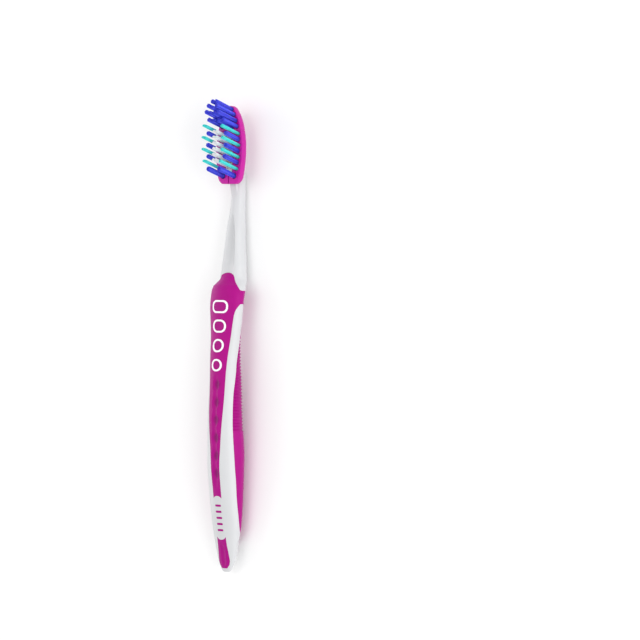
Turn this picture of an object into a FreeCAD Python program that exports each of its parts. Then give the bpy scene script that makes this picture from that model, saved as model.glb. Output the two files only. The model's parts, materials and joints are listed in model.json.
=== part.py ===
"""Manual toothbrush with flexing head sides, lying on its back.

Stations run along +X from the butt end, heights along +Z from the table, and
the bristles point up. The solids are moved at the end so that the origin is on
the table, under the middle of the brush.
"""
import FreeCAD, Part
import math
import os

V = FreeCAD.Vector

# Overall sizes
brush_length = 190.0
head_length = 31.7
handle_length = brush_length - head_length
handle_half_width = 7.9
handle_half_depth = 7.2
back_arch = 4.9
neck_radius = 2.8
overrun = 20.0

# Body sections: station, half width, half depth and height of the back,
# as shares of handle length, half width, half depth and back arch
section_shares = (
    (0.000, 0.165, 0.110, 0.857),
    (0.0035, 0.265, 0.153, 0.796),
    (0.010, 0.345, 0.208, 0.714),
    (0.024, 0.478, 0.278, 0.602),
    (0.0505, 0.620, 0.361, 0.510),
    (0.0777, 0.720, 0.472, 0.388),
    (0.126, 0.867, 0.640, 0.195),
    (0.208, 0.949, 0.860, 0.050),
    (0.290, 0.987, 1.000, 0.000),
    (0.379, 0.937, 0.970, 0.230),
    (0.474, 0.873, 0.890, 0.410),
    (0.550, 0.861, 0.765, 0.715),
    (0.613, 0.911, 0.612, 0.960),
    (0.682, 1.000, 0.625, 0.900),
    (0.726, 0.990, 0.690, 0.570),
    (0.771, 0.760, 0.640, 0.185),
)
# Neck sections: station share of handle length, half width and half depth as
# shares of the neck radius, height of the back as a share of the back arch
neck_shares = (
    (0.821, 1.680, 1.535, 0.020),
    (0.884, 1.375, 1.355, 0.002),
    (0.935, 1.125, 1.105, 0.000),
    (0.985, 1.020, 1.000, 0.000),
    (1.005, 1.000, 0.980, 0.004),
)
neck_dome = 4.6
dome_steps = 4

# Soft grip: where its edges run round the body, in degrees from the front, at
# shares of handle length; the white sides lie between the front and back edges
grip_thickness = 1.3
grip_depth_share = 0.45
seat_gap = 0.02
tail_share = 0.009
leaf_share = 0.076
leaf_full_share = 0.120
white_neck_share = 0.657
white_tip_share = 0.687
collar_share = 0.7215
front_edge_shares = (
    (0.009, 30.0), (0.014, 42.0), (0.022, 47.0), (0.044, 35.0), (0.071, 25.0), (0.126, 18.5), (0.208, 16.0),
    (0.272, 16.5), (0.333, 21.0), (0.385, 27.0), (0.442, 33.0), (0.505, 37.0), (0.569, 44.0), (0.632, 50.0),
    (0.657, 53.0), (0.676, 62.0), (0.687, 80.0), (0.7215, 80.0),
)
back_edge_shares = (
    (0.076, 165.0), (0.088, 140.0), (0.098, 118.0), (0.102, 105.0), (0.110, 92.0), (0.131, 82.0),
    (0.153, 77.0), (0.186, 71.0), (0.237, 69.0), (0.284, 65.0), (0.335, 62.0), (0.392, 62.5), (0.458, 66.0),
    (0.507, 76.0), (0.543, 81.0), (0.5755, 92.0), (0.608, 100.0), (0.622, 115.0), (0.640, 132.0),
    (0.657, 134.0), (0.676, 124.0), (0.687, 112.0),
)
# Tongue on the front of the neck: station share, edge angle, dip of its middle
tongue_dip = 1.0
tongue_edge_shares = (
    (0.7215, 80.0, 0.00), (0.7235, 69.0, 0.00), (0.733, 58.0, 0.00), (0.743, 47.0, 0.00), (0.752, 40.0, 0.00),
    (0.757, 38.0, 0.20), (0.762, 36.0, 0.55), (0.7675, 33.0, 1.00),
)

# Hollow down the front of the neck: station share and edge angle, with the bow
# of its floor as a share of its half width
hollow_end_share = 0.918
hollow_bow_share = 0.14
hollow_edge_shares = (
    (0.7675, 33.0), (0.802, 35.0), (0.836, 36.0), (0.870, 32.0), (0.892, 26.0), (0.904, 21.0), (0.913, 12.0),
    (0.918, 3.0),
)

# Runs of even sections along the body: first share, last share, number of spans
station_runs = (
    (0.0, tail_share, 3), (tail_share, leaf_share, 7), (leaf_share, leaf_full_share, 7),
    (leaf_full_share, white_neck_share, 22), (white_neck_share, white_tip_share, 4),
    (white_tip_share, collar_share, 3), (hollow_end_share, neck_shares[-1][0], 4),
)

# Raised thumb rings, from the neck down: half lengths along and across the handle
ring_station_share = 0.6797
ring_pitch = 7.9
ring_line = 0.72
ring_proud = 0.2
ring_half_lengths = (2.62, 2.65, 2.68, 2.50)
ring_half_widths = (3.95, 3.30, 2.78, 2.55)
ring_corner_shares = (0.86, 0.95, 0.97, 0.97)
ring_base = 8.4
dot_hollow_radius = 6.0
dot_hollow_depth = 0.3

# Hollows along the front: a scalloped finger groove, and a plain one in the tail
# with its station shares and depth shares
groove_radius = 2.9
finger_depth = 0.5
groove_start_share = 0.212
groove_pitch = 7.2
groove_steps = 4
groove_sections = 26
groove_fade_share = 0.06
scallop_share = 0.5
scallop_phase_share = 0.417
tail_hollow_radius = 2.6
tail_hollow_depth = 0.4
tail_hollow_shares = ((0.014, 0.0), (0.019, 0.7), (0.026, 1.0), (0.058, 1.0), (0.066, 0.7), (0.072, 0.0))

# Fine ribs across the back grip
rib_count = 29
rib_pitch = 1.3
rib_station_share = 0.600
rib_depth = 0.5
valley_share = 0.5

# White window in the tail of the front strip, with plain soft bars in it
window_station_share = 0.139
window_length = 17.8
window_half_width = 2.6
window_corner = 2.5
window_base = 4.0
bar_count = 5
bar_pitch = 2.5
bar_half_length = 0.45
bar_half_width = 1.5
bar_corner = 0.4

# Head plate: outline as shares of head length and plate half width
head_face = 9.7
plate_half_width = 6.85
plate_thickness = 3.4
plate_back_round = 1.2
plate_front_round = 0.35
edge_steps = 2
plate_shares = (
    (-0.029, 0.490), (-0.002, 0.680), (0.056, 0.825), (0.181, 0.930), (0.411, 1.000), (0.621, 0.905),
    (0.766, 0.730), (0.876, 0.480), (0.946, 0.250), (0.971, 0.000),
)
seam_station_share = 0.660
seam_gap = 0.1
slit_half_width = 0.2

# Spine of the head: the white bar between the wings
spine_half_width = 1.55
spine_recess = 0.25
spine_depth = 4.25
spine_root_length = 8.0
spine_root_front = 5.0
spine_root_back = 2.4
spine_back_run = 4.4
spine_back_rise_run = 3.6
ramp_run = 1.2
ramp_front = 7.0
ramp_drop = 0.3
spine_window_start = 4.0
bridge_length = 1.822
tongue_length = 7.6
tongue_thickness = 1.7

# Wing hinges: soft beads on the spine's sides in round grooves of the wings
hinge_half_span = 1.9
hinge_drop = 1.7
hinge_bead_radius = 0.8
hinge_clearance = 0.05
wing_inner_gap = 0.45
wing_end_gap = 0.3

# Soft pad on the back of the head's tip: shares of head length and half width
pad_thickness = 1.9
pad_round = 0.9
pad_shares = (
    (0.716, 0.180), (0.7255, 0.330), (0.758, 0.440), (0.806, 0.460), (0.855, 0.375), (0.892, 0.240),
    (0.914, 0.100), (0.918, 0.000),
)
pad_rib_count = 3
pad_rib_pitch = 1.5
pad_rib_station_share = 0.762
pad_rib_radius = 0.3

# Tufts: all lean towards the tip, each foot folded over a metal staple
tuft_lean = 15.0
tuft_hole_depth = 2.0
tuft_clearance = 0.03
round_radius = 1.0
tip_radius = 0.93
heel_radius = 1.15
centre_radius = 0.62
blade_half_thickness = 0.68
blade_half_width = 1.1
blade_slant = 24.0
staple_thickness = 0.3
staple_height = 0.9
staple_bite = 0.15

# Tuft places: station share of head length and distance share of plate half
# width, with the kind of tuft and its height above the plate
round_height = 8.3
blade_height = 11.2
heel_height = 9.6
wing_tuft_shares = (
    (0.613, 0.645, "blade", blade_height),
    (0.541, 0.660, "round", round_height),
    (0.465, 0.692, "blade", blade_height),
    (0.391, 0.665, "round", round_height),
    (0.314, 0.675, "blade", blade_height),
    (0.246, 0.622, "round", round_height),
    (0.164, 0.580, "blade", blade_height),
    (0.074, 0.420, "heel", heel_height),
)
tip_front_height = 10.4
tip_tall_height = 11.5
tip_back_height = 9.0
tip_pair_shares = (
    (0.924, 0.142, "tip", tip_front_height),
    (0.858, 0.310, "tip", tip_tall_height),
    (0.779, 0.455, "tip", tip_tall_height),
    (0.706, 0.548, "tip", tip_back_height),
    (0.764, 0.146, "tip", tip_tall_height),
    (0.696, 0.190, "tip", tip_back_height),
)
tip_middle_shares = ((0.834, 0.000, "tip", tip_tall_height),)
centre_height = 9.6
centre_row_count = 6
centre_heel_gap = 2.023
centre_tip_gap = 1.577
centre_half_gap = 0.74

profile_half_sizes = {
    "round": (round_radius, round_radius),
    "tip": (tip_radius, tip_radius),
    "heel": (heel_radius, heel_radius),
    "centre": (centre_radius, centre_radius),
    "blade": (blade_half_thickness, blade_half_width),
}

# Places that several pieces share
plate_back = head_face - plate_thickness
spine_top = head_face - spine_recess
spine_back = spine_top - spine_depth
tongue_front = spine_back + tongue_thickness
bay_start = handle_length + spine_window_start
seam_station = handle_length + head_length * seam_station_share
bay_end = seam_station - bridge_length
tongue_end = bay_end + tongue_length
hinge_height = head_face - hinge_drop
wing_inner = spine_half_width + wing_inner_gap
lean_angle = math.radians(tuft_lean)
front_tuft_station = handle_length + head_length * tip_pair_shares[0][0]
front_reach = front_tuft_station + tip_front_height * math.tan(lean_angle) + tip_radius * math.cos(lean_angle)
origin_station = max(front_reach, brush_length) / 2


def block(x_range, y_range, z_range):
    """A box between two corners."""
    size = [high - low for low, high in (x_range, y_range, z_range)]
    return Part.makeBox(*size, V(x_range[0], y_range[0], z_range[0]))


def table_rows():
    """Station, half width, half depth and back height of each given section."""
    tables = ((section_shares, handle_half_width, handle_half_depth), (neck_shares, neck_radius, neck_radius))
    rows = []
    for shares, half_width, half_depth in tables:
        for station, width, depth, back in shares:
            rows.append((station * handle_length, width * half_width, depth * half_depth, back * back_arch))
    return rows


def slope(before, here, after, column):
    """Slope of a column at a row, gentle where the column bends and level at its high and low points."""
    rises = [(right[column] - left[column]) / (right[0] - left[0])
             for left, right in ((before, here), (here, after)) if left is not right]
    if min(rises) <= 0 <= max(rises):
        return 0
    return len(rises) / sum(1 / rise for rise in rises)


def on_curve(rows, station):
    """The columns of a table at a station, on a smooth curve through its rows."""
    last = len(rows) - 1
    index = sum(1 for row in rows[1:last] if row[0] <= station)
    before, start, end, after = (rows[min(max(index + step, 0), last)] for step in (-1, 0, 1, 2))
    span = end[0] - start[0]
    t = (station - start[0]) / span
    values = []
    for column in range(1, len(start)):
        start_slope = span * slope(before, start, end, column)
        end_slope = span * slope(start, end, after, column)
        values.append((2 * t ** 3 - 3 * t ** 2 + 1) * start[column] + (t ** 3 - 2 * t ** 2 + t) * start_slope
                      + (3 * t ** 2 - 2 * t ** 3) * end[column] + (t ** 3 - t ** 2) * end_slope)
    return values


def section_at(station):
    """Half width, half depth and back height of the body at a station."""
    return on_curve(table_rows(), station)


def edge_angle(shares, station):
    """Angle from the front at which an edge of the grip runs at a station."""
    rows = [(row[0] * handle_length, row[1]) for row in shares]
    return math.radians(on_curve(rows, station)[0])


def stations_between(low_share, high_share):
    """Stations of the sections from one share of the handle to another, both included."""
    shares = [low_share]
    for start, end, spans in station_runs:
        if low_share <= start and end <= high_share:
            shares += [start + (end - start) * step / spans for step in range(1, spans + 1)]
    return [share * handle_length for share in shares]


def table_stations(shares):
    """The stations that a table of edges names."""
    return [row[0] * handle_length for row in shares]


def groove_depth(station):
    """Depth of the grip's seat in the body, less where the body is thin."""
    return min(grip_thickness, grip_depth_share * section_at(station)[1])


def section_arc(station, inset, start, end):
    """Part of the body's oval section, between two angles from the front."""
    half_width, half_depth, back = section_at(station)
    centre = V(station, 0, back + half_depth)
    oval = Part.Ellipse(centre + V(0, half_width - inset, 0), centre + V(0, 0, half_depth - inset), centre)
    return Part.ArcOfEllipse(oval, math.pi / 2 - end, math.pi / 2 - start).toShape()


def section_point(station, inset, angle):
    """A point on the body's oval section."""
    half_width, half_depth, back = section_at(station)
    height = back + half_depth + (half_depth - inset) * math.cos(angle)
    return V(station, (half_width - inset) * math.sin(angle), height)


def stepped_wire(station, parts):
    """Closed section from arcs, each with an inset, a start and an end angle, joined by short walls."""
    edges = []
    for index, (inset, start, end) in enumerate(parts):
        next_inset = parts[(index + 1) % len(parts)][0]
        edges.append(section_arc(station, inset, start, end))
        wall_end = section_point(station, next_inset, end)
        edges.append(Part.makeLine(section_point(station, inset, end), wall_end))
    return Part.Wire(edges)


def oval_wire(station, half_width, half_depth, middle):
    """A whole oval section."""
    centre = V(station, 0, middle)
    oval = Part.Ellipse(centre + V(0, half_width, 0), centre + V(0, 0, half_depth), centre)
    return Part.Wire(oval.toShape())


def whole_wire(station, inset):
    """The body's whole section, drawn in by inset."""
    half_width, half_depth, back = section_at(station)
    return oval_wire(station, half_width - inset, half_depth - inset, back + half_depth)


def loft(wires):
    """A solid through sections, straight from each to the next."""
    return Part.makeLoft(wires, True, True)


def front_seat_wire(station, front):
    """Core section with a seat for soft plastic on the front."""
    return stepped_wire(station, [(groove_depth(station), -front, front), (0, front, 2 * math.pi - front)])


def both_seats_wire(station):
    """Core section with seats for soft plastic on front and back."""
    front = edge_angle(front_edge_shares, station)
    back = edge_angle(back_edge_shares, station)
    depth = groove_depth(station)
    turn = 2 * math.pi
    return stepped_wire(station, [(depth, -front, front), (0, front, back), (depth, back, turn - back),
                                  (0, turn - back, turn - front)])


def strip_wire(station, outer, inner, start, end):
    """Section of a strip of the shell, between two insets and two angles."""
    edges = [
        section_arc(station, outer, start, end),
        Part.makeLine(section_point(station, outer, end), section_point(station, inner, end)),
        section_arc(station, inner, start, end),
        Part.makeLine(section_point(station, inner, start), section_point(station, outer, start)),
    ]
    return Part.Wire(edges)


def dished_arc(station, angle, dip):
    """Arc across the front between two edges, its middle let down by dip."""
    middle = section_point(station, dip, 0)
    return Part.Arc(section_point(station, 0, -angle), middle, section_point(station, 0, angle)).toShape()


def hollow_wire(station):
    """Neck section with its hollow front."""
    half_width, half_depth = section_at(station)[:2]
    edge = edge_angle(hollow_edge_shares, station)
    dip = half_depth * (1 - math.cos(edge)) + hollow_bow_share * half_width * math.sin(edge)
    return Part.Wire([section_arc(station, 0, edge, 2 * math.pi - edge), dished_arc(station, edge, dip)])


def front_strip(outer):
    """The front of the shell from the tail to the tongue, with its outer face drawn in by outer."""
    wires = []
    for station in stations_between(tail_share, collar_share):
        front = edge_angle(front_edge_shares, station)
        wires.append(strip_wire(station, outer, groove_depth(station), -front, front))
    return loft(wires)


def rib_profile():
    """Stations and insets down the back grip: plain, then a crest and a valley for each rib."""
    first_rib = rib_station_share * handle_length
    last_rib = first_rib - rib_count * rib_pitch
    rows = [(station, 0) for station in stations_between(leaf_share, white_tip_share)
            if station < last_rib - rib_pitch or station > first_rib + rib_pitch]
    for index in range(rib_count):
        rows.append((first_rib - index * rib_pitch, 0))
        rows.append((first_rib - (index + valley_share) * rib_pitch, rib_depth))
    rows.append((last_rib, 0))
    return sorted(rows)


def back_strip():
    """The ribbed back grip, up to the white tips."""
    wires = []
    for station, inset in rib_profile():
        back = edge_angle(back_edge_shares, station)
        edge = seat_gap / section_at(station)[1]
        wires.append(strip_wire(station, inset, groove_depth(station) - seat_gap, back + edge,
                                2 * math.pi - back - edge))
    return loft(wires)


def collar():
    """Soft band round the sides and back, with the tongue that runs up the front of the neck."""
    wires = []
    for station in stations_between(white_tip_share, collar_share):
        front = edge_angle(front_edge_shares, station)
        wires.append(strip_wire(station, 0, groove_depth(station), front, 2 * math.pi - front))
    return loft(wires).fuse(front_tongue())


def front_tongue():
    """The tongue of the grip, whose end dips into the hollow of the neck."""
    wires = []
    for share, degrees, dip_share in tongue_edge_shares:
        station = share * handle_length
        angle = math.radians(degrees)
        depth = groove_depth(station)
        outer = section_arc(station, 0, -angle, angle)
        if dip_share:
            outer = dished_arc(station, angle, dip_share * tongue_dip)
        wires.append(Part.Wire([
            outer,
            Part.makeLine(section_point(station, 0, angle), section_point(station, depth, angle)),
            section_arc(station, depth, -angle, angle),
            Part.makeLine(section_point(station, depth, -angle), section_point(station, 0, -angle)),
        ]))
    return loft(wires)


def neck_end():
    """Sections past the last station, where the neck ends in a dome inside the head."""
    station, half_width, half_depth, back = table_rows()[-1]
    wires = []
    for step in range(1, dome_steps + 1):
        angle = math.pi / 2 * step / (dome_steps + 1)
        shrink = math.cos(angle)
        place = station + neck_dome * math.sin(angle)
        wires.append(oval_wire(place, half_width * shrink, half_depth * shrink, back + half_depth))
    return wires


def bare_core():
    """The white body with its seats, as a row of lofts joined end to end."""
    butt = [whole_wire(station, 0) for station in stations_between(0, tail_share)]
    tail = [front_seat_wire(station, edge_angle(front_edge_shares, station))
            for station in stations_between(tail_share, leaf_share)]
    middle = [both_seats_wire(station) for station in stations_between(leaf_share, white_tip_share)]
    waist = [whole_wire(station, groove_depth(station))
             for station in stations_between(white_tip_share, collar_share)]
    shoulder = [front_seat_wire(station, edge_angle(tongue_edge_shares, station))
                for station in table_stations(tongue_edge_shares)]
    hollow = [hollow_wire(station) for station in table_stations(hollow_edge_shares)]
    neck = [whole_wire(station, 0) for station in stations_between(hollow_end_share, neck_shares[-1][0])]
    lofts = [loft(wires) for wires in (butt, tail, middle, waist, shoulder, hollow, neck + neck_end())]
    return lofts[0].fuse(lofts[1:])


def mirrored_wire(half_points, height):
    """A closed outline of arcs from half of it, its last point on the middle line."""
    points = [V(x, -y, height) for x, y in half_points]
    points += [V(x, y, height) for x, y in reversed(half_points[:-1])]
    edges = [Part.Arc(*points[index:index + 3]).toShape() for index in range(0, len(points) - 2, 2)]
    return Part.Wire(edges + [Part.makeLine(points[-1], points[0])])


def head_points(shares):
    """Outline points on the head from shares of its length and half width."""
    return [(handle_length + station * head_length, side * plate_half_width) for station, side in shares]


def prism(face, low, high):
    """A flat face stood up between two heights."""
    lower = face.copy()
    lower.translate(V(0, 0, low))
    return lower.extrude(V(0, 0, high - low))


def rounded_prism(station, half_length, half_width, corner, low):
    """Upright prism with a rounded rectangle for its outline, from a height upwards."""
    along = (station - half_length, station + half_length)
    box = block(along, (-half_width, half_width), (low, low + overrun))
    upright = [edge for edge in box.Edges if edge.BoundBox.ZLength > overrun / 2]
    return box.makeFillet(corner, upright)


def ring_stations():
    """Stations of the thumb rings, from the neck down."""
    first = ring_station_share * handle_length
    return [first - index * ring_pitch for index in range(len(ring_half_lengths))]


def ring_prisms(shrink):
    """Upright prisms on the thumb rings, drawn in by shrink."""
    prisms = []
    for index, station in enumerate(ring_stations()):
        half_length = ring_half_lengths[index] - shrink
        half_width = ring_half_widths[index] - shrink
        corner = ring_corner_shares[index] * min(half_length, half_width)
        prisms.append(rounded_prism(station, half_length, half_width, corner, ring_base))
    return prisms


def tail_window():
    """Upright prism on the white window of the tail."""
    middle = window_station_share * handle_length
    return rounded_prism(middle, window_length / 2, window_half_width, window_corner, window_base)


def tail_bar_prisms():
    """Upright prisms on the plain bars in the tail window."""
    middle = window_station_share * handle_length
    return [rounded_prism(middle + (index - (bar_count - 1) / 2) * bar_pitch, bar_half_length, bar_half_width,
                          bar_corner, window_base) for index in range(bar_count)]


def front_height(station):
    """Height of the body's front at a station."""
    half_depth, back = section_at(station)[1:]
    return back + 2 * half_depth


def hollow_rods(stations, radius, depth):
    """Rods across the front that press shallow hollows into it."""
    rods = []
    for station in stations:
        start = V(station, -overrun / 2, front_height(station) + radius - depth)
        rods.append(Part.makeCylinder(radius, overrun, start, V(0, 1, 0)))
    return rods


def long_hollow(rows, radius):
    """A round hollow along the front, from its stations and depths."""
    wires = []
    for station, depth in rows:
        centre = V(station, 0, front_height(station) + radius - depth)
        wires.append(Part.Wire(Part.Circle(centre, V(1, 0, 0), radius).toShape()))
    return loft(wires)


def finger_groove():
    """The scalloped groove down the front strip, fading out at both ends."""
    rows = []
    for index in range(groove_sections + 1):
        turn = index / groove_steps
        run = index / groove_sections
        fade = min(1, run / groove_fade_share, (1 - run) / groove_fade_share)
        wave = 1 - scallop_share * math.cos(2 * math.pi * (turn - scallop_phase_share))
        rows.append((groove_start_share * handle_length + turn * groove_pitch, finger_depth * fade * wave))
    return long_hollow(rows, groove_radius)


def tail_hollow():
    """The plain hollow down the tail pad."""
    rows = [(station * handle_length, depth * tail_hollow_depth) for station, depth in tail_hollow_shares]
    return long_hollow(rows, tail_hollow_radius)


def thumb_dots(shell):
    """The soft islands inside the thumb rings, each a little hollow."""
    rods = hollow_rods(ring_stations(), dot_hollow_radius, dot_hollow_depth)
    return [shell.common(dot).cut(rod) for dot, rod in zip(ring_prisms(ring_line), rods)]


def head_spine():
    """The white bar from the neck into the head, with its tongue at the tip."""
    root = handle_length - spine_root_length
    rise = handle_length + spine_back_run
    outline = [
        V(root, 0, spine_root_back),
        V(rise, 0, spine_root_back),
        V(rise + spine_back_rise_run, 0, spine_back),
        V(tongue_end, 0, spine_back),
        V(tongue_end, 0, tongue_front),
        V(bay_end, 0, tongue_front),
        V(bay_end, 0, spine_top),
        V(bay_start, 0, spine_top),
        V(bay_start, 0, ramp_front),
        V(handle_length - ramp_run, 0, ramp_front - ramp_drop),
        V(root, 0, spine_root_front),
    ]
    face = Part.Face(Part.makePolygon(outline + outline[:1]))
    face.translate(V(0, -spine_half_width, 0))
    return face.extrude(V(0, 2 * spine_half_width, 0))


def tuft_face(kind, grow):
    """Section of a tuft or of its hole: round, or flat with round ends."""
    half_thickness, half_width = profile_half_sizes[kind]
    radius = half_thickness + grow
    if half_width == half_thickness:
        return Part.Face(Part.Wire(Part.Circle(V(0, 0, 0), V(0, 0, 1), radius).toShape()))
    end = V(0, half_width - half_thickness, 0)
    side = V(radius, 0, 0)
    tip = V(0, half_width + grow, 0)
    edges = [
        Part.makeLine(side - end, side + end),
        Part.Arc(side + end, tip, end - side).toShape(),
        Part.makeLine(end - side, V(0, 0, 0) - end - side),
        Part.Arc(V(0, 0, 0) - end - side, V(0, 0, 0) - tip, side - end).toShape(),
    ]
    return Part.Face(Part.Wire(edges))


def lean_at(shape, station, side, height):
    """Lean an upright shape towards the tip and set its foot on the head."""
    shape.rotate(V(0, 0, 0), V(0, 1, 0), tuft_lean)
    shape.translate(V(station, side, height))
    return shape


def staple(kind, grow):
    """The metal strip at a tuft's foot, or with some growth its pocket."""
    half_width = profile_half_sizes[kind][1] + staple_bite + grow
    half_thickness = staple_thickness / 2 + grow
    return block((-half_thickness, half_thickness), (-half_width, half_width),
                 (-tuft_hole_depth - grow, staple_height - tuft_hole_depth + grow))


def tuft(kind, height):
    """An upright tuft with its slot for the staple; flat tufts end on a slant."""
    length = height / math.cos(lean_angle)
    shape = prism(tuft_face(kind, 0), -tuft_hole_depth, length).cut(staple(kind, tuft_clearance))
    if kind == "blade":
        half_width = profile_half_sizes[kind][1]
        corner = block((-overrun, overrun), (-overrun, 0), (0, overrun))
        corner.rotate(V(0, 0, 0), V(1, 0, 0), blade_slant)
        corner.translate(V(0, half_width, length))
        shape = shape.cut(corner)
    return shape


def tuft_hole(kind):
    """An upright tuft hole with the pocket that the staple bites into."""
    hole = prism(tuft_face(kind, tuft_clearance), -tuft_hole_depth - tuft_clearance, overrun)
    return hole.fuse(staple(kind, tuft_clearance))


def rounded_slab(shares, levels):
    """A slab with an outline on the head, drawn in at each height of its edge."""
    points = head_points(shares)
    middle = (points[0][0] + points[-1][0]) / 2
    half_length = points[-1][0] - middle
    half_width = max(side for _, side in points)
    wires = []
    for height, inset in levels:
        along = 1 - inset / half_length
        across = 1 - inset / half_width
        outline = [(middle + (station - middle) * along, side * across) for station, side in points]
        wires.append(mirrored_wire(outline, height))
    return loft(wires)


def edge_levels(low, high, low_round, high_round):
    """Heights and insets of a slab with two rounded edges."""
    levels = []
    for step in range(edge_steps + 1):
        angle = math.pi / 2 * step / edge_steps
        levels.append((low + low_round * (1 - math.cos(angle)), low_round * (1 - math.sin(angle))))
    for step in range(edge_steps + 1):
        angle = math.pi / 2 * step / edge_steps
        levels.append((high - high_round * (1 - math.sin(angle)), high_round * (1 - math.cos(angle))))
    return levels


def head_plate():
    """The whole head plate, before it is parted into tip and wings."""
    return rounded_slab(plate_shares, edge_levels(plate_back, head_face, plate_back_round, plate_front_round))


def wing(plate, side):
    """One flexing side: side is 1 for the left wing and -1 for the right."""
    far = side * overrun
    half = block((handle_length - overrun, seam_station - seam_gap), sorted((side * slit_half_width, far)),
                 (0, overrun))
    bay = block((bay_start - wing_end_gap, brush_length), sorted((0, side * wing_inner)), (0, overrun))
    under = block((handle_length - overrun, bay_start), sorted((0, side * wing_inner)),
                  (0, ramp_front + wing_inner_gap))
    groove = hinge_rod(side, hinge_bead_radius + hinge_clearance, wing_end_gap)
    return plate.common(half).cut(bay).cut(under).cut(groove)


def hinge_rod(side, radius, longer):
    """A rod on a wing's hinge line, lengthened at both ends."""
    start = V(bay_start - longer, side * hinge_half_span, hinge_height)
    return Part.makeCylinder(radius, bay_end - bay_start + 2 * longer, start, V(1, 0, 0))


def hinge_bead(side):
    """The soft hinge bead, seated flat on the spine's side."""
    spine_side = block((handle_length, brush_length), sorted((0, side * spine_half_width)), (0, overrun))
    return hinge_rod(side, hinge_bead_radius, 0).cut(spine_side)


def tip_plate(plate):
    """The fixed tip of the head, seated on the spine's tongue."""
    ahead = block((seam_station, brush_length + overrun), (-overrun, overrun), (0, overrun))
    bridge = block((bay_end, brush_length), (-spine_half_width, spine_half_width), (0, overrun))
    tongue = block((handle_length, tongue_end), (-spine_half_width, spine_half_width), (0, tongue_front))
    return plate.common(ahead.fuse(bridge)).cut(tongue)


def tongue_pad():
    """Soft ribbed pad under the tip, wrapped round the spine's tongue."""
    levels = edge_levels(plate_back - pad_thickness, plate_back, pad_round, 0)[:edge_steps + 2]
    pad = rounded_slab(pad_shares, levels)
    grooves = []
    for index in range(pad_rib_count):
        station = handle_length + pad_rib_station_share * head_length + index * pad_rib_pitch
        start = V(station, -overrun, plate_back - pad_thickness)
        grooves.append(Part.makeCylinder(pad_rib_radius, 2 * overrun, start, V(0, 1, 0)))
    tongue = block((handle_length, tongue_end), (-spine_half_width, spine_half_width), (spine_back, overrun))
    return pad.cut(Part.makeCompound(grooves)).cut(tongue)


def place_tufts(rows, sides, height):
    """Tufts, holes and staples of some rows, on the sides given."""
    tufts, holes, staples = [], [], []
    for station_share, side_share, kind, tall in rows:
        for side in sides:
            spot = (handle_length + station_share * head_length, side * side_share * plate_half_width, height)
            shape = tuft(kind, tall)
            if side < 0:
                shape = shape.mirror(V(0, 0, 0), V(0, 1, 0))
            tufts.append(lean_at(shape, *spot))
            holes.append(lean_at(tuft_hole(kind), *spot))
            staples.append(lean_at(staple(kind, 0), *spot))
    return tufts, Part.makeCompound(holes), Part.makeCompound(staples)


def centre_rows():
    """Place rows of the short white tufts: two in each row, spread evenly along the spine."""
    first = bay_start + centre_heel_gap
    pitch = (bay_end - centre_tip_gap - first) / (centre_row_count - 1)
    side_share = centre_half_gap / plate_half_width
    return [((first + row * pitch - handle_length) / head_length, side_share, "centre", centre_height)
            for row in range(centre_row_count)]


def save(name, shape):
    """Write one node, moved to the origin under the middle of the brush."""
    placed = shape.copy()
    placed.translate(V(-origin_station, 0, 0))
    placed.exportStep("parts/" + name + ".step")


def make_handle():
    """The white core with its soft pieces and the white centre tufts."""
    shell = front_strip(0)
    rings = Part.makeCompound(ring_prisms(0))
    bars = Part.makeCompound(tail_bar_prisms())
    raised = front_strip(-ring_proud).common(rings).cut(Part.makeCompound(ring_prisms(ring_line)))
    window = shell.common(tail_window()).cut(bars)
    core = bare_core().fuse([raised, window, head_spine()])
    tufts, holes, staples = place_tufts(centre_rows(), (1, -1), spine_top)
    save("handle_core", core.cut(holes))
    front = shell.cut(rings).cut(tail_window()).cut(finger_groove()).cut(tail_hollow())
    tail_pad, front = sorted(front.Solids, key=lambda solid: solid.CenterOfMass.x)
    save("grip_overmould", front.fuse([back_strip(), collar()]))
    save("tail_pad", tail_pad)
    save("tail_bars", shell.common(bars))
    for number, dot in enumerate(thumb_dots(shell), 1):
        save("thumb_dot_%d" % number, dot)
    for row in range(centre_row_count):
        save("centre_tuft_row_%d" % (row + 1), Part.makeCompound(tufts[2 * row:2 * row + 2]))
    save("centre_staples", staples)


def make_head():
    """Tip, wings, hinges, tongue pad and all coloured tufts."""
    plate = head_plate()
    tufts, holes, staples = place_tufts(tip_pair_shares, (1, -1), head_face)
    more_tufts, more_holes, more_staples = place_tufts(tip_middle_shares, (1,), head_face)
    save("head_tip", tip_plate(plate).cut(holes).cut(more_holes))
    save("tip_staples", Part.makeCompound([staples, more_staples]))
    for number, shape in enumerate(tufts + more_tufts, 1):
        save("tip_tuft_%02d" % number, shape)
    save("tongue_pad", tongue_pad())
    for name, side in (("left", 1), ("right", -1)):
        tufts, holes, staples = place_tufts(wing_tuft_shares, (side,), head_face)
        save(name + "_wing", wing(plate, side).cut(holes))
        save(name + "_hinge", hinge_bead(side))
        save(name + "_staples", staples)
        for number, shape in enumerate(tufts, 1):
            save("%s_tuft_%d" % (name, number), shape)


os.makedirs("parts", exist_ok=True)
make_handle()
make_head()
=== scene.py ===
"""Studio scene of a manual toothbrush with flexing head sides."""
import json
import math
import random

import bmesh
import bpy
from mathutils import Matrix, Vector

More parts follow.
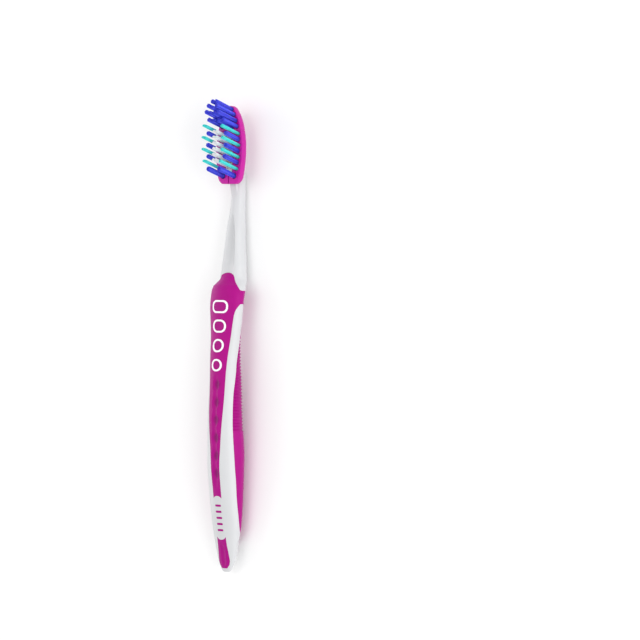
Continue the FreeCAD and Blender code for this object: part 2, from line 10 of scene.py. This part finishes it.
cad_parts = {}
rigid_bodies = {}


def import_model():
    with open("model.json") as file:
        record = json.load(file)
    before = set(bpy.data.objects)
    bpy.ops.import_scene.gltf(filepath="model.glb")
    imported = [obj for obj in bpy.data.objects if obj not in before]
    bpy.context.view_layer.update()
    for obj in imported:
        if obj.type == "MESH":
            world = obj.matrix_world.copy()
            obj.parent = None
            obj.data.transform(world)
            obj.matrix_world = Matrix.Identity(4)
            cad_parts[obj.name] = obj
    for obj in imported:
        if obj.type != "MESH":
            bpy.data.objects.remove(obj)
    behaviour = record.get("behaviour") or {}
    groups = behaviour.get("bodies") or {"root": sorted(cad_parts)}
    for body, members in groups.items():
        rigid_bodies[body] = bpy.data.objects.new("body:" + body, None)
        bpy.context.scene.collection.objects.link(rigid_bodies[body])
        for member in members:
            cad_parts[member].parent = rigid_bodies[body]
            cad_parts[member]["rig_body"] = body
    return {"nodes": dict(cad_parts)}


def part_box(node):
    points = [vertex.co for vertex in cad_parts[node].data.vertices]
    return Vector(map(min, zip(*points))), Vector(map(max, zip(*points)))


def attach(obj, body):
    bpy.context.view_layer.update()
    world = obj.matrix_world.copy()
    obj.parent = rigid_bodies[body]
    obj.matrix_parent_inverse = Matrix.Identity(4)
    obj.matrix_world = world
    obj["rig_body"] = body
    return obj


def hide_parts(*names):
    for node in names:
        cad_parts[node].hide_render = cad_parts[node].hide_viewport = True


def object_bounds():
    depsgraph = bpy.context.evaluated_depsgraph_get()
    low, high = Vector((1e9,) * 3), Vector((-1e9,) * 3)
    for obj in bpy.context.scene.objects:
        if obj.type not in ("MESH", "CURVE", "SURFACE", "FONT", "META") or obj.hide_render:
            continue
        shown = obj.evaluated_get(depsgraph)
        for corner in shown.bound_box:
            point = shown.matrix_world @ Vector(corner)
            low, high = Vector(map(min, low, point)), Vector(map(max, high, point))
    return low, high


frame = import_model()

cad_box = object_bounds()
MM = 0.001
screen_top = 255
screen_gamma = 2.2


def rgb(red, green, blue):
    """A colour as a screen shows it, from 0 to 255, made linear."""
    return tuple((value / screen_top) ** screen_gamma for value in (red, green, blue)) + (1.0,)


# Camera: where the brush lies in the picture, and the lens
image_width = 640
pixels_per_metre = 2458.0
butt_row = 571.5
axis_column = 238.8
axis_column_row = 196.0
axis_lean = 0.0233
axis_height = 2.8 * MM
view_elevation = math.radians(52)
camera_distance = 1.5
sensor_width = 36.0
view_depth = 20.0

# Studio: even light on the object, and soft boxes by name, place in metres and power in watts
sky_light = 0.8
soft_boxes = (
    ("left_light", (0.05, 1.0, 0.38), 3.0),
    ("right_light", (-0.05, -1.0, 0.36), 5.6),
    ("top_light", (0.2, 0.1, 1.2), 1.8),
)
soft_box_size = 0.8
floor_size = 4.0

# Colours: the two tones between which each finish varies, and the single tones laid over them
shell_whites = (rgb(200, 201, 203), rgb(206, 207, 209))
# Painted highlight: a brighter white laid on the raised thumb rings
ring_highlight_white = rgb(246, 246, 248)
grip_magentas = (rgb(158, 4, 120), rgb(170, 8, 130))
# Painted shade: a darker magenta for the dimples of the finger groove
groove_shade_magenta = rgb(126, 0, 98)
deep_magentas = (rgb(154, 10, 118), rgb(166, 16, 128))
bloom_tint = (0.95, 0.62, 1.0, 1.0)
plate_magentas = (rgb(182, 18, 144), rgb(194, 26, 154))
bristle_blues = (rgb(54, 58, 206), rgb(94, 102, 246))
bristle_teals = (rgb(44, 206, 206), rgb(96, 236, 230))
bristle_whites = (rgb(240, 241, 244), rgb(252, 252, 254))
staple_tones = (rgb(196, 172, 110), rgb(214, 190, 126))
floor_tones = ((0.955, 0.955, 0.955, 1.0), (0.965, 0.965, 0.965, 1.0))

# How many thumb dots there are, and tufts of each kind, and which of a wing's tufts are flat blades
thumb_dots = 4
tip_tufts = 13
wing_tufts = 8
blade_numbers = (1, 3, 5, 7)
centre_rows = 6

# Filaments in a tuft of each kind, and what is added to a tuft's number for its seed
tip_filaments = 46
round_filaments = 52
blade_filaments = 40
centre_filaments = 22
wing_seed = 20
centre_seed = 40

# Form of the filaments, all leaning towards the tip, and of the bundles that they make
tuft_lean = math.radians(15)
filament_radius = 0.11 * MM
filament_sides = 6
dome_height = 1.2 * filament_radius
dome_top_radius = 0.45 * filament_radius
blade_flatness = 0.62
blade_slant = math.radians(24)
foot_gather = 0.94
cut_unevenness = 0.12 * MM
centre_gap = 0.12 * MM
golden_angle = math.pi * (3 - math.sqrt(5))

# Spots of painted shade in the finger groove down the front strip: one spot's place, their pitch, the stretch
# over which they come and go, their middle line, half width, fading, lowest height and strength
spot_start = -55.48 * MM
spot_pitch = 7.2 * MM
spot_rise = (-61 * MM, -59 * MM)
spot_fall = (-16 * MM, -14 * MM)
spot_side = -0.7 * MM
spot_half_width = 2.2 * MM
spot_fade = 0.75
spot_height = (8 * MM, 9 * MM)
spot_strength = 0.85

# Room of the painted highlight on the raised thumb rings: ends, half width with its growth along the brush,
# and bottom
ring_rise = (-17 * MM, -16 * MM)
ring_fall = (16.5 * MM, 17.5 * MM)
ring_side = (3.45 * MM, 3.55 * MM)
ring_growth = 0.065
ring_bottom = (10.4 * MM, 10.6 * MM)

# Shoulder between grip and neck, lower and slimmer than the plain solids there:
# place along the brush in mm, drop in mm and share of the width taken off
shoulder_rows = (
    (18.9, 0.0, 0.0), (20.4, 0.15, 0.03), (22.0, 0.8, 0.075), (23.7, 1.25, 0.11), (25.9, 0.75, 0.06),
    (28.6, 0.4, 0.02), (31.3, 0.2, 0.0), (36.7, 0.0, 0.0),
)

# Hollow down the front of the neck, deeper than in the plain solid:
# place along the brush in mm, half width between its edges in mm and added depth in mm
hollow_rows = (
    (25.86, 3.34, 0.0), (31.3, 2.93, 1.0), (36.7, 2.62, 1.2), (42.1, 2.14, 1.1), (45.6, 1.64, 0.8),
    (47.5, 1.27, 0.55), (48.9, 0.71, 0.3), (49.7, 0.17, 0.0),
)
hollow_floor = 5.5 * MM

# Arched front end of the grip's tongue: its place, its half width, how far the corners
# stay back, and how far from the end the arch fades out
tongue_end = 25.86 * MM
tongue_half_width = 3.34 * MM
tongue_arch = 1.0 * MM
tongue_fade = 5.4 * MM

# Share of its width by which the pad behind the head is slimmer than the plain solid
pad_slimming = 0.2

# Shading of the moulded pieces
crease_angle = math.radians(28)
merge_distance = 0.002 * MM


class Socket:
    """A shader socket that can be used in plain sums."""

    def __init__(self, shading, socket):
        self.shading = shading
        self.socket = socket

    def work_out(self, operation, *values):
        """The result of a Math node on sockets or numbers."""
        return self.shading.node("ShaderNodeMath", {"operation": operation}, dict(enumerate(values)))

    def __add__(self, other):
        return self.work_out("ADD", self, other)

    __radd__ = __add__

    def __sub__(self, other):
        return self.work_out("SUBTRACT", self, other)

    def __rsub__(self, other):
        return self.work_out("SUBTRACT", other, self)

    def __mul__(self, other):
        return self.work_out("MULTIPLY", self, other)

    __rmul__ = __mul__

    def __abs__(self):
        return self.work_out("ABSOLUTE", self)

    def cosine(self):
        """The cosine of an angle in radians."""
        return self.work_out("COSINE", self)

    def or_more(self, other):
        """The larger of two values."""
        return self.work_out("MAXIMUM", self, other)


class Shading:
    """A tree of shader nodes, grown node by node."""

    def __init__(self, tree):
        self.tree = tree

    def node(self, kind, settings, sockets, output=0):
        """Adds a node: its type, its settings, the values or links of its sockets, and the output wanted."""
        node = self.tree.nodes.new(kind)
        for name, value in settings.items():
            setattr(node, name, value)
        for key, value in sockets.items():
            self.feed(node.inputs[key], value)
        return Socket(self, node.outputs[output])

    def feed(self, target, value):
        """Links a socket to an input, or sets the input's value."""
        if isinstance(value, Socket):
            self.tree.links.new(value.socket, target)
        else:
            target.default_value = value


class Finish(Shading):
    """A procedural material on a Principled shader, with its constants given by name."""

    def __init__(self, name, **constants):
        self.material = bpy.data.materials.new(name)
        self.material.use_nodes = True
        super().__init__(self.material.node_tree)
        self.shader = self.tree.nodes["Principled BSDF"]
        self.surface(**constants)

    def surface(self, **inputs):
        """Sets or feeds the shader's inputs, named as in coat_weight."""
        for name, value in inputs.items():
            self.feed(self.shader.inputs[name.replace("_", " ").title().replace("Ior", "IOR")], value)

    def place(self):
        """Where a point of the piece is."""
        return self.node("ShaderNodeTexCoord", {}, {}, "Object")

    def parts_of_place(self):
        """How far along the brush, across it and above the floor a point is."""
        place = self.place()
        return [self.node("ShaderNodeSeparateXYZ", {}, {0: place}, axis) for axis in "XYZ"]

    def noise(self, scale, detail=3.0):
        """Noise over the piece, with a scale in waves per metre."""
        return self.node("ShaderNodeTexNoise", {}, {"Vector": self.place(), "Scale": scale, "Detail": detail})

    def step(self, value, low, high):
        """A smooth step of a value from 0 to 1."""
        sockets = {"Value": value, "From Min": low, "From Max": high}
        return self.node("ShaderNodeMapRange", {"interpolation_type": "SMOOTHSTEP"}, sockets)

    def band(self, value, rise, fall):
        """A smooth step of a value from 0 to 1 and back."""
        return self.step(value, *rise) - self.step(value, *fall)

    def mix(self, factor, first, second):
        """A colour between two colours."""
        return self.node("ShaderNodeMix", {"data_type": "RGBA"}, {0: factor, 6: first, 7: second}, 2)

    def roughen(self, least, spread, pattern):
        """Roughness that goes up from its least by a pattern from 0 to 1."""
        self.surface(roughness=least + spread * pattern)

    def bump(self, height, strength, distance):
        """Relief from a height, into the shader's normal."""
        sockets = {"Height": height, "Strength": strength, "Distance": distance}
        self.surface(normal=self.node("ShaderNodeBump", {}, sockets))


def thumb_ring_highlight(finish):
    """The raised rings of the thumb rest, where a brighter white is painted as a highlight, from 0 to 1."""
    along, across, height = finish.parts_of_place()
    inside = 1 - finish.step(abs(across) - ring_growth * along, *ring_side)
    return finish.band(along, ring_rise, ring_fall) * inside * finish.step(height, *ring_bottom)


def white_plastic():
    """White hard plastic with a soft gloss, a faint moulded ripple and a painted highlight on the thumb
    rings.
    """
    finish = Finish("white_plastic", coat_weight=0.06, specular_ior_level=0.26, subsurface_weight=0.06,
                    subsurface_radius=(1.0, 0.9, 0.85), subsurface_scale=1.5 * MM)
    tone = finish.mix(finish.noise(scale=60), *shell_whites)
    # Painted highlight: the raised thumb rings are mixed to a brighter white
    finish.surface(base_color=finish.mix(thumb_ring_highlight(finish), tone, ring_highlight_white))
    finish.roughen(least=0.26, spread=0.08, pattern=finish.noise(scale=240))
    finish.bump(finish.noise(scale=300, detail=1.0), strength=0.03, distance=0.02 * MM)
    return finish.material


def groove_shade_spots(finish):
    """Darker diamonds of painted shade where the finger groove of the front strip is deepest, from 0 to 1."""
    along, across, height = finish.parts_of_place()
    wave = ((along - spot_start) * (2 * math.pi / spot_pitch)).cosine()
    offset = abs(across - spot_side) * (1 / spot_half_width)
    diamond = finish.step(0.5 + 0.5 * wave - offset, 0.0, spot_fade)
    run = finish.band(along, spot_rise, spot_fall)
    return spot_strength * diamond * run * finish.step(height, *spot_height)


def soft_magenta(name, tones, groove_shaded=False):
    """Satin magenta elastomer with a fine grain and a pale bloom at its turned edges."""
    finish = Finish(name, specular_ior_level=0.14, sheen_weight=0.2, sheen_roughness=0.4,
                    sheen_tint=bloom_tint)
    tone = finish.mix(finish.noise(scale=420), *tones)
    if groove_shaded:
        # Painted shade: darker diamonds in the dimples of the finger groove
        tone = finish.mix(groove_shade_spots(finish), tone, groove_shade_magenta)
    finish.surface(base_color=tone)
    finish.roughen(least=0.42, spread=0.16, pattern=finish.noise(scale=300))
    finish.bump(finish.noise(scale=2600, detail=2.0), strength=0.12, distance=0.04 * MM)
    return finish.material


def magenta_plastic():
    """Glossy magenta hard plastic of the head's plates."""
    finish = Finish("magenta_plastic", coat_weight=0.05, specular_ior_level=0.25)
    finish.surface(base_color=finish.mix(finish.noise(scale=160), *plate_magentas))
    finish.roughen(least=0.24, spread=0.12, pattern=finish.noise(scale=300))
    finish.bump(finish.noise(scale=1200, detail=2.0), strength=0.06, distance=0.05 * MM)
    return finish.material


def bristle(name, tones):
    """Nylon filaments, each of a slightly different tone and gloss."""
    finish = Finish(name, specular_ior_level=0.28, subsurface_weight=0.1, subsurface_scale=0.4 * MM)
    strand = finish.node("ShaderNodeAttribute", {"attribute_name": "strand"}, {}, "Fac")
    finish.surface(base_color=finish.mix(strand, *tones))
    finish.roughen(least=0.28, spread=0.2, pattern=strand)
    return finish.material


def staple_metal():
    """Plain drawn metal strip."""
    finish = Finish("staple_metal", metallic=1.0)
    cloud = finish.noise(scale=900)
    finish.surface(base_color=finish.mix(cloud, *staple_tones))
    finish.roughen(least=0.25, spread=0.15, pattern=cloud)
    return finish.material


def floor_paint():
    """Pale matt paint."""
    finish = Finish("floor_paint")
    cloud = finish.noise(scale=4)
    finish.surface(base_color=finish.mix(cloud, *floor_tones))
    finish.roughen(least=0.75, spread=0.1, pattern=cloud)
    return finish.material


def add_object(name, data):
    """A new object in the scene."""
    added = bpy.data.objects.new(name, data)
    bpy.context.scene.collection.objects.link(added)
    return added


def add_mesh(shape, name, material):
    """Turns a bmesh into an object of one material."""
    mesh = bpy.data.meshes.new(name)
    shape.to_mesh(mesh)
    shape.free()
    mesh.materials.append(material)
    return add_object(name, mesh)


def place_piece(shape, name, material, node):
    """Turns a bmesh into a piece that stands for a CAD node on the node's body."""
    piece = add_mesh(shape, name, material)
    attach(piece, frame["nodes"][node]["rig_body"])
    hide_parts(node)
    return piece


def between(rows, along):
    """The values of a table at a place along the brush in mm, or nothing outside it."""
    for first, last in zip(rows, rows[1:]):
        if first[0] <= along < last[0]:
            share = (along - first[0]) / (last[0] - first[0])
            return [low + (high - low) * share for low, high in zip(first[1:], last[1:])]
    return None


def arch(place):
    """How far a point near the front end of the grip's tongue stays back for the arch there."""
    fade = max(0.0, 1 - abs(place.x - tongue_end) / tongue_fade)
    return tongue_arch * fade * min(1.0, abs(place.y) / tongue_half_width) ** 2


def hollow(place):
    """How much deeper a point in the neck's hollow lies, in mm."""
    row = between(hollow_rows, place.x / MM)
    if row is None or place.z < hollow_floor:
        return 0.0
    half_width, depth = row
    return depth * max(0.0, 1 - (place.y / (half_width * MM)) ** 2)


def shoulder(place):
    """A point of the handle, moved for the shoulder, the neck's hollow and the arch of the tongue."""
    drop, narrowing = between(shoulder_rows, place.x / MM) or (0.0, 0.0)
    fall = (drop + hollow(place)) * MM
    return Vector((place.x - arch(place), place.y * (1 - narrowing), place.z - fall))


def slim_pad(place):
    """A point of the tongue pad, drawn in to its middle line."""
    return Vector((place.x, place.y * (1 - pad_slimming), place.z))


def moulded(node, name, material, reshape=None):
    """A merged copy of a CAD node with smooth faces and crisp edges."""
    shape = bmesh.new()
    shape.from_mesh(frame["nodes"][node].data)
    bmesh.ops.remove_doubles(shape, verts=shape.verts, dist=merge_distance)
    if reshape:
        for vert in shape.verts:
            vert.co = reshape(vert.co)
    for face in shape.faces:
        face.smooth = True
        face.material_index = 0
    for edge in shape.edges:
        edge.smooth = edge.calc_face_angle(0) < crease_angle
    piece = place_piece(shape, name, material, node)
    if "custom_normal" in piece.data.attributes:
        piece.data.attributes.remove(piece.data.attributes["custom_normal"])


def filament(shape, strand, foot, tip, tint):
    """One nylon filament from foot to tip, with a rounded end."""
    along = (tip - foot).normalized()
    turn = along.to_track_quat("Z", "Y").to_matrix().to_4x4()
    length = (tip - foot).length - dome_height
    rows = (
        (filament_radius, length, length / 2),
        (dome_top_radius, dome_height, length + dome_height / 2),
    )
    for top_radius, tall, middle in rows:
        spot = Matrix.Translation(foot + along * middle) @ turn
        made = bmesh.ops.create_cone(shape, cap_ends=True, segments=filament_sides, radius1=filament_radius,
                                     radius2=top_radius, depth=tall, matrix=spot)
        for vert in made["verts"]:
            for face in vert.link_faces:
                face[strand] = tint
                face.smooth = len(face.verts) != filament_sides


def tuft_bundle(shape, strand, low, high, flat, count, dice):
    """The filaments of one tuft in its box: round, or flat with a slanted end."""
    half_width = (high.y - low.y) / 2
    half_thickness = half_width * (blade_flatness if flat else 1.0)
    reach = Vector((half_thickness * math.cos(tuft_lean), 0, half_thickness * math.sin(tuft_lean)))
    middle = (high.y + low.y) / 2
    foot = Vector((low.x + reach.x, middle, low.z + reach.z))
    tip = Vector((high.x - reach.x, middle, high.z - reach.z))
    along = (tip - foot).normalized()
    across = Vector((along.z, 0, -along.x))
    outward = math.copysign(1, middle)
    for number in range(count):
        spread = math.sqrt((number + 0.5) / count)
        turn = number * golden_angle
        side = spread * math.cos(turn)
        offset = (across * (half_thickness - filament_radius) * spread * math.sin(turn)
                  + Vector((0, (half_width - filament_radius) * side, 0)))
        drop = dice.uniform(0, cut_unevenness)
        if flat:
            drop += half_width * (1 - outward * side) * math.tan(blade_slant)
        filament(shape, strand, foot + foot_gather * offset, tip + offset - along * drop, dice.random())


def bristles(node, name, material, boxes, count, seed, flat=False):
    """All filaments of a CAD tuft node, with one bundle in each box."""
    dice = random.Random(seed)
    shape = bmesh.new()
    strand = shape.faces.layers.float.new("strand")
    for low, high in boxes:
        tuft_bundle(shape, strand, low, high, flat, count, dice)
    place_piece(shape, name, material, node)


def row_boxes(node):
    """The boxes of the two short tufts of one row on the spine."""
    low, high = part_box(node)
    left_low = Vector((low.x, centre_gap / 2, low.z))
    right_high = Vector((high.x, -centre_gap / 2, high.z))
    return [(left_low, high), (low, right_high)]


def dress_handle(white, plate, magenta, deep):
    """Smooth copies of the white, magenta and soft mouldings."""
    moulded("handle_core", "handle_shell", white, shoulder)
    moulded("head_tip", "tip_shell", plate)
    moulded("left_wing", "left_wing_shell", plate)
    moulded("right_wing", "right_wing_shell", plate)
    moulded("grip_overmould", "soft_grip", magenta, shoulder)
    moulded("tongue_pad", "soft_tongue_pad", magenta, slim_pad)
    moulded("tail_pad", "soft_tail_pad", deep)
    moulded("tail_bars", "soft_tail_bars", deep)
    for side in ("left", "right"):
        moulded(side + "_hinge", side + "_soft_hinge", magenta)
    for number in range(1, thumb_dots + 1):
        moulded("thumb_dot_%d" % number, "soft_thumb_dot_%d" % number, deep)


def dress_tufts(blue, teal, pale):
    """Filament tufts in place of the plain CAD tufts."""
    for number in range(1, tip_tufts + 1):
        node = "tip_tuft_%02d" % number
        bristles(node, "tip_bristles_%02d" % number, blue, [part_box(node)], tip_filaments, number)
    for side in ("left", "right"):
        for number in range(1, wing_tufts + 1):
            node = "%s_tuft_%d" % (side, number)
            name = "%s_bristles_%d" % (side, number)
            seed = wing_seed + number
            if number in blade_numbers:
                bristles(node, name, teal, [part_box(node)], blade_filaments, seed, flat=True)
            else:
                bristles(node, name, blue, [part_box(node)], round_filaments, seed)
    for number in range(1, centre_rows + 1):
        node = "centre_tuft_row_%d" % number
        name = "centre_bristles_%d" % number
        bristles(node, name, pale, row_boxes(node), centre_filaments, centre_seed + number)


def dress_staples(metal):
    """The metal strips keep their CAD form."""
    for node in ("centre_staples", "tip_staples", "left_staples", "right_staples"):
        strips = frame["nodes"][node]
        strips.data.materials.clear()
        strips.data.materials.append(metal)


def floor_piece():
    """A wide pale floor under the brush."""
    shape = bmesh.new()
    bmesh.ops.create_grid(shape, x_segments=2, y_segments=2, size=floor_size)
    floor = add_mesh(shape, "floor", floor_paint())


def studio_world():
    """Even white light, plain white to the camera and in what mirrors or passes light."""
    world = bpy.data.worlds.new("studio")
    world.use_nodes = True
    shading = Shading(world.node_tree)
    camera, glossy, passed = (shading.node("ShaderNodeLightPath", {}, {}, "Is %s Ray" % kind)
                              for kind in ("Camera", "Glossy", "Transmission"))
    shown = camera.or_more(glossy).or_more(passed)
    background = shading.tree.nodes["Background"]
    background.inputs["Color"].default_value = (1, 1, 1, 1)
    shading.feed(background.inputs["Strength"], sky_light + (1 - sky_light) * shown)
    bpy.context.scene.world = world


def studio_lights():
    """Large low boxes on both sides of the brush and a weak one above, all turned to its middle."""
    for name, place, power in soft_boxes:
        lamp = bpy.data.lights.new(name, "AREA")
        lamp.shape = "SQUARE"
        lamp.size = soft_box_size
        lamp.energy = power
        holder = add_object(name, lamp)
        holder.location = place
        holder.rotation_euler = (-Vector(place)).to_track_quat("-Z", "Y").to_euler()


def photo_camera():
    """A long lens turned so that the brush stands up in the picture, leaning a little."""
    roll = math.atan(axis_lean)
    level_right = Vector((0, -math.sin(view_elevation), -math.cos(view_elevation)))
    length_way = Vector((1, 0, 0))
    right = level_right * math.cos(roll) + length_way * math.sin(roll)
    up = length_way * math.cos(roll) - level_right * math.sin(roll)
    back = right.cross(up)
    middle = image_width / 2
    station = (butt_row - middle) / pixels_per_metre
    column = axis_column + axis_lean * (axis_column_row - middle)
    on_axis = Vector((cad_box[0][0] + station, 0, axis_height))
    target = on_axis + right * (middle - column) / pixels_per_metre
    lens = bpy.data.cameras.new("photo_camera")
    lens.sensor_width = sensor_width
    lens.lens = sensor_width * camera_distance * pixels_per_metre / image_width
    lens.clip_end = view_depth
    camera = add_object("photo_camera", lens)
    turn = Matrix((right, up, back)).transposed().to_4x4()
    camera.matrix_world = Matrix.Translation(target + back * camera_distance) @ turn
    bpy.context.scene.camera = camera


bpy.context.scene.view_settings.view_transform = "Standard"
photo_camera()
studio_world()
studio_lights()
floor_piece()
dress_handle(white_plastic(), magenta_plastic(),
             soft_magenta("soft_magenta", grip_magentas, groove_shaded=True),
             soft_magenta("deep_magenta", deep_magentas))
dress_tufts(bristle("blue_bristle", bristle_blues),
            bristle("teal_bristle", bristle_teals),
            bristle("white_bristle", bristle_whites))
dress_staples(staple_metal())
